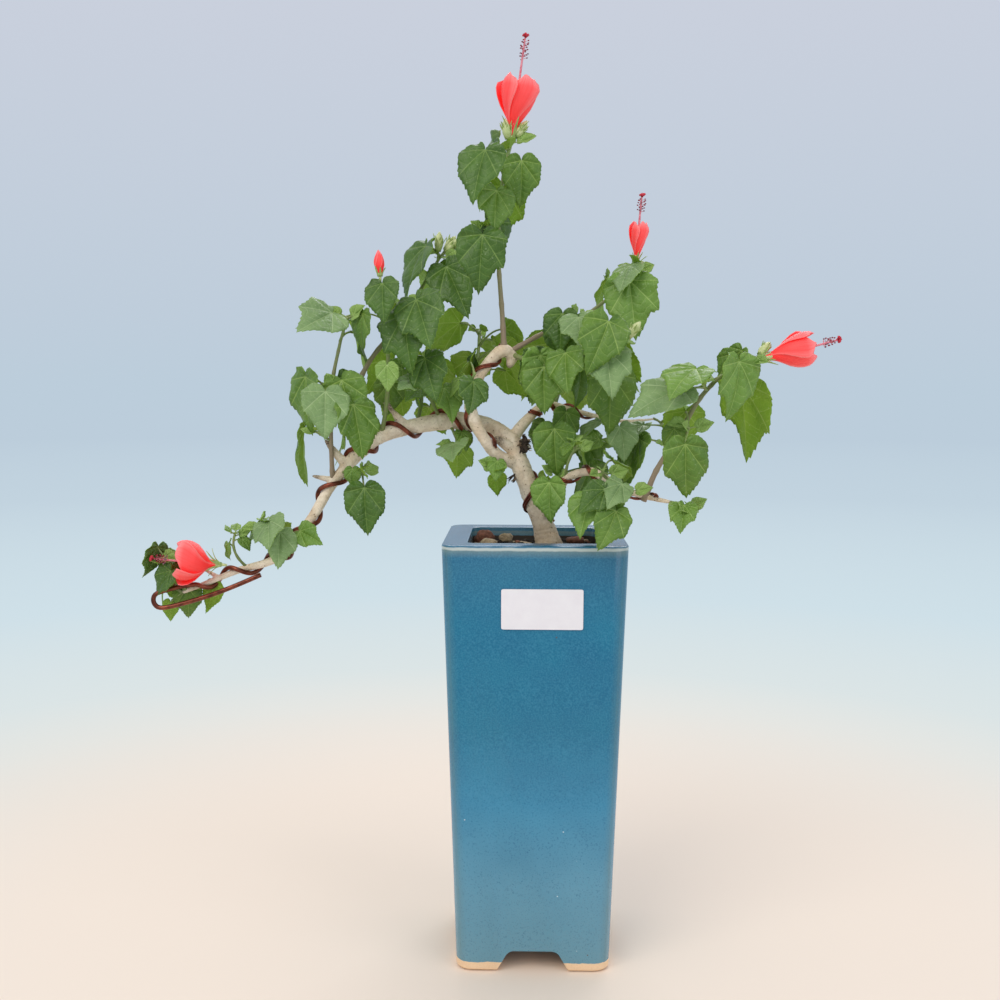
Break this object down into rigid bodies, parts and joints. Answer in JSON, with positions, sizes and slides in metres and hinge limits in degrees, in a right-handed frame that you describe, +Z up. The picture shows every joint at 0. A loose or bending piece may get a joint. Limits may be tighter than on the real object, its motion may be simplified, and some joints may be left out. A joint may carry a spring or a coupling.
{
  "type": "turks cap bonsai in a tall pot",
  "caption": "Small cascading bonsai shrub with a curved wired trunk, toothed drooping leaves and furled red flowers, standing in a tall square glazed pot with corner feet.",
  "frame": {"origin": "bottom centre of the bounding box of plant and pot together, on the plane that the pot's feet stand on", "axes": "+Z up along the height of the plant, +X to the right of a viewer who faces the labelled side of the pot, -Y towards that viewer"},
  "size_m": [0.3388, 0.1418, 0.4707],
  "materials": {
    "blue_glaze": "gloss",
    "soil": "matte",
    "lava_stone": "matte",
    "label_paper": "satin",
    "bark": "matte",
    "green_stem": "matte",
    "training_wire": "satin",
    "leaf": "satin",
    "petal": "satin"
  },
  "bodies": {
    "root": {"pot": "blue_glaze", "soil": "soil", "label_plate": "label_paper", "stone_1": "lava_stone", "stone_2": "lava_stone", "stone_3": "lava_stone", "stone_4": "lava_stone", "stone_5": "lava_stone", "trunk": "bark", "bough_left_inner": "bark", "bough_left_outer": "bark", "bough_crown": "bark", "bough_right_upper": "bark", "bough_right_lower": "bark", "stem_top": "green_stem", "stem_left_upright": "green_stem", "stem_left_crown": "green_stem", "stem_right_top": "green_stem", "stem_far_right": "green_stem", "wire_left": "training_wire", "wire_crown": "training_wire", "wire_trunk": "training_wire", "wire_right_upper": "training_wire", "wire_right_lower": "training_wire", "foliage_top": "leaf", "foliage_top_low": "leaf", "foliage_left_upright": "leaf", "foliage_left_outer": "leaf", "foliage_left_outer_low": "leaf", "foliage_left_inner": "leaf", "foliage_left_crown": "leaf", "foliage_left_crown_low": "leaf", "foliage_left_middle": "leaf", "foliage_right_top": "leaf", "foliage_right_top_low": "leaf", "foliage_right_middle": "leaf", "foliage_far_right": "leaf", "foliage_far_right_inner": "leaf", "foliage_far_right_low": "leaf", "foliage_right_inner": "leaf", "foliage_right_mid": "leaf", "foliage_right_end": "leaf", "foliage_low_twig": "leaf", "foliage_low_middle": "leaf", "foliage_low_front": "leaf", "foliage_low_end": "leaf", "foliage_trunk_right": "leaf", "foliage_trunk_left": "leaf", "foliage_under_left": "leaf", "foliage_left_low": "leaf", "foliage_left_hanging": "leaf", "foliage_left_far": "leaf", "foliage_left_tip": "leaf", "foliage_hook": "leaf", "foliage_back_left": "leaf", "foliage_back_middle": "leaf", "foliage_back_right": "leaf"}
  },
  "joints": []
}
